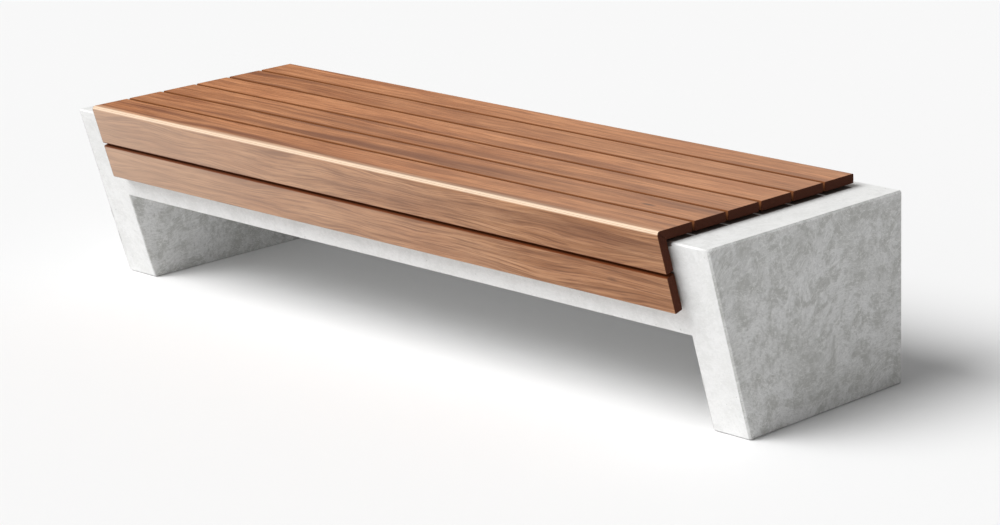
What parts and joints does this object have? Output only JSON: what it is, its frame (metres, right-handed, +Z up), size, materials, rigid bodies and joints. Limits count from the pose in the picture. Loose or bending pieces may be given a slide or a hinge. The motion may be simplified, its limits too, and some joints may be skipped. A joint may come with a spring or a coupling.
{
  "type": "garden bench",
  "caption": "Backless garden bench: one concrete casting with two slab legs, its top and leaning front clad in spaced hardwood slats screwed to hidden bent steel bearers.",
  "frame": {"origin": "On the ground, at the centre of the bench's outer box.", "axes": "+X along the bench to the sitter's left, +Y to the upright back, +Z up. The leaning front faces -Y."},
  "size_m": [2, 0.644, 0.45],
  "materials": {
    "concrete": "smooth cast concrete, light grey, faint mottling",
    "timber": "oiled hardwood, reddish brown, fine grain along the slat",
    "bearer_steel": "hot-dip galvanised, dull spangle",
    "fastener_steel": "stainless, satin"
  },
  "bodies": {
    "root": {"bearer_1": "bearer_steel", "bearer_2": "bearer_steel", "bearer_3": "bearer_steel", "bearer_4": "bearer_steel", "concrete_frame": "concrete", "front_slat_lower": "timber", "front_slat_upper_nose": "timber", "lifting_socket_1": "fastener_steel", "lifting_socket_2": "fastener_steel", "screw_front_slat_lower_1": "fastener_steel", "screw_front_slat_lower_2": "fastener_steel", "screw_front_slat_lower_3": "fastener_steel", "screw_front_slat_lower_4": "fastener_steel", "screw_front_slat_upper_nose_1": "fastener_steel", "screw_front_slat_upper_nose_2": "fastener_steel", "screw_front_slat_upper_nose_3": "fastener_steel", "screw_front_slat_upper_nose_4": "fastener_steel", "screw_top_slat_1_nose_1": "fastener_steel", "screw_top_slat_1_nose_2": "fastener_steel", "screw_top_slat_1_nose_3": "fastener_steel", "screw_top_slat_1_nose_4": "fastener_steel", "screw_top_slat_2_1": "fastener_steel", "screw_top_slat_2_2": "fastener_steel", "screw_top_slat_2_3": "fastener_steel", "screw_top_slat_2_4": "fastener_steel", "screw_top_slat_3_1": "fastener_steel", "screw_top_slat_3_2": "fastener_steel", "screw_top_slat_3_3": "fastener_steel", "screw_top_slat_3_4": "fastener_steel", "screw_top_slat_4_1": "fastener_steel", "screw_top_slat_4_2": "fastener_steel", "screw_top_slat_4_3": "fastener_steel", "screw_top_slat_4_4": "fastener_steel", "screw_top_slat_5_1": "fastener_steel", "screw_top_slat_5_2": "fastener_steel", "screw_top_slat_5_3": "fastener_steel", "screw_top_slat_5_4": "fastener_steel", "screw_top_slat_6_1": "fastener_steel", "screw_top_slat_6_2": "fastener_steel", "screw_top_slat_6_3": "fastener_steel", "screw_top_slat_6_4": "fastener_steel", "seat_bolt_1_front": "fastener_steel", "seat_bolt_1_rear": "fastener_steel", "seat_bolt_2_front": "fastener_steel", "seat_bolt_2_rear": "fastener_steel", "seat_bolt_3_front": "fastener_steel", "seat_bolt_3_rear": "fastener_steel", "seat_bolt_4_front": "fastener_steel", "seat_bolt_4_rear": "fastener_steel", "top_slat_1_nose": "timber", "top_slat_2": "timber", "top_slat_3": "timber", "top_slat_4": "timber", "top_slat_5": "timber", "top_slat_6": "timber"}
  },
  "joints": []
}
